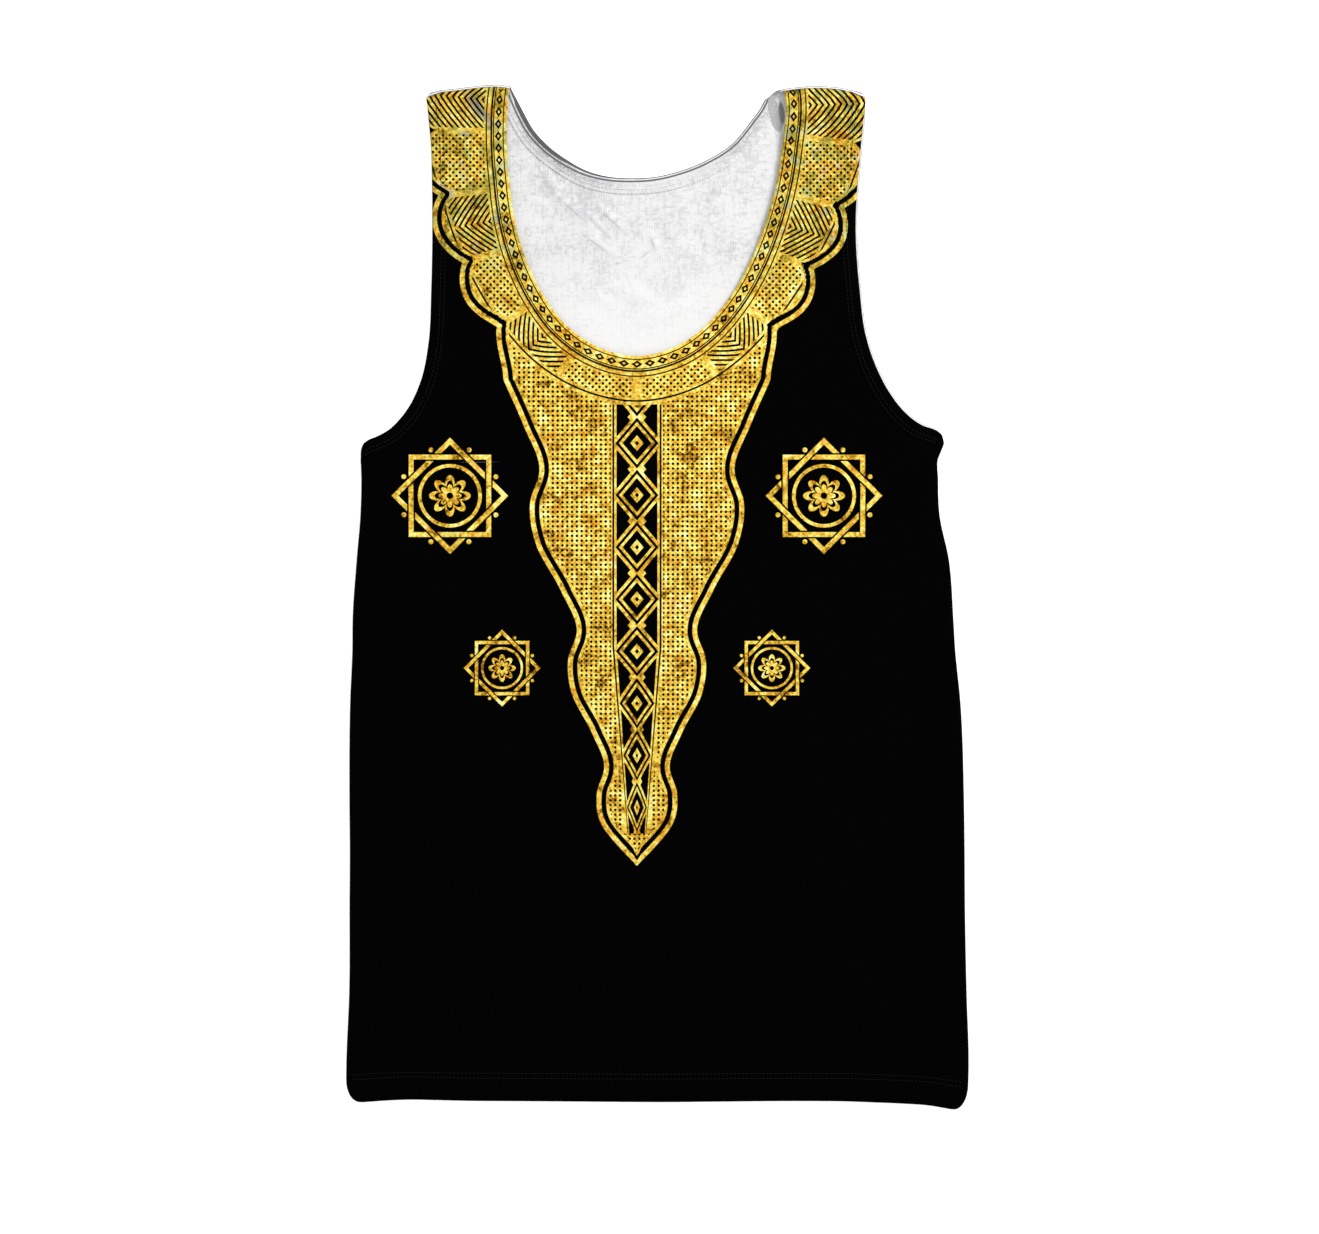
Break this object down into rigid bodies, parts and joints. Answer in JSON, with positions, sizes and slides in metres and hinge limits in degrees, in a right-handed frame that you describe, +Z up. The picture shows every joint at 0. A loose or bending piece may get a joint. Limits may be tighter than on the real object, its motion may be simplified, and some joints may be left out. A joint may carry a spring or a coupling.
{
  "type": "sleeveless tank top",
  "caption": "Sleeveless knit tank top with a deep scooped neck and bound edges, laid flat on its back with the front up.",
  "frame": {"origin": "centre of the garment's box, on the surface it lies on", "axes": "+Z up from the surface to the front, +Y from the hem to the shoulders, +X to the wearer's left"},
  "size_m": [0.4662, 0.7672, 0.0064],
  "materials": {
    "front_cloth": "black polyester knit with a gold printed ornament, white on its inner face",
    "back_cloth": "polyester knit, white on its inner face and black outside",
    "neck_binding_cloth": "doubled knit strip, printed gold on black at the front and white inside the back",
    "armhole_binding_cloth": "doubled black knit strip with two rows of stitching",
    "thread": "spun polyester sewing thread"
  },
  "bodies": {
    "root": {"front_panel": "front_cloth", "back_panel": "back_cloth", "neck_binding": "neck_binding_cloth", "armhole_binding_left": "armhole_binding_cloth", "armhole_binding_right": "armhole_binding_cloth"}
  },
  "joints": []
}
